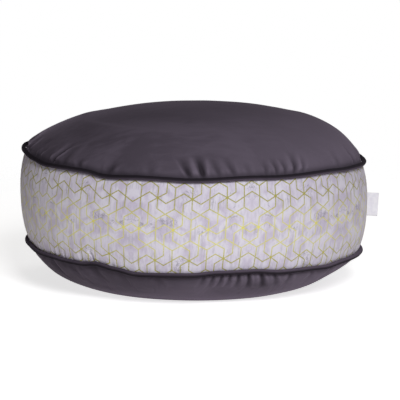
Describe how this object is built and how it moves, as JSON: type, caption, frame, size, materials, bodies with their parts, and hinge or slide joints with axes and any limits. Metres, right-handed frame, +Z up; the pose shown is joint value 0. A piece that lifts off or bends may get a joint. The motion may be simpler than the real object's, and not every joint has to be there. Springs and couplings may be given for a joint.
{
  "type": "round floor pouf",
  "caption": "Round filled floor pouf with a crowned velvet top, a printed side band, a velvet underside, piped seams and a small folded tab in the band's closing seam",
  "frame": {"origin": "on the pouf's axis, at the floor it rests on: the middle of the flat of the underside", "axes": "+Z up along the axis, -Y towards the front, +X towards the folded tab"},
  "size_m": [0.6238, 0.6038, 0.3117],
  "materials": {
    "velvet": "matte",
    "printed_cloth": "matte",
    "piping_velvet": "matte",
    "woven_tab": "satin"
  },
  "bodies": {
    "root": {"top_panel": "velvet", "side_band": "printed_cloth", "bottom_panel": "velvet", "top_piping": "piping_velvet", "bottom_piping": "piping_velvet", "label_tab": "woven_tab"}
  },
  "joints": []
}
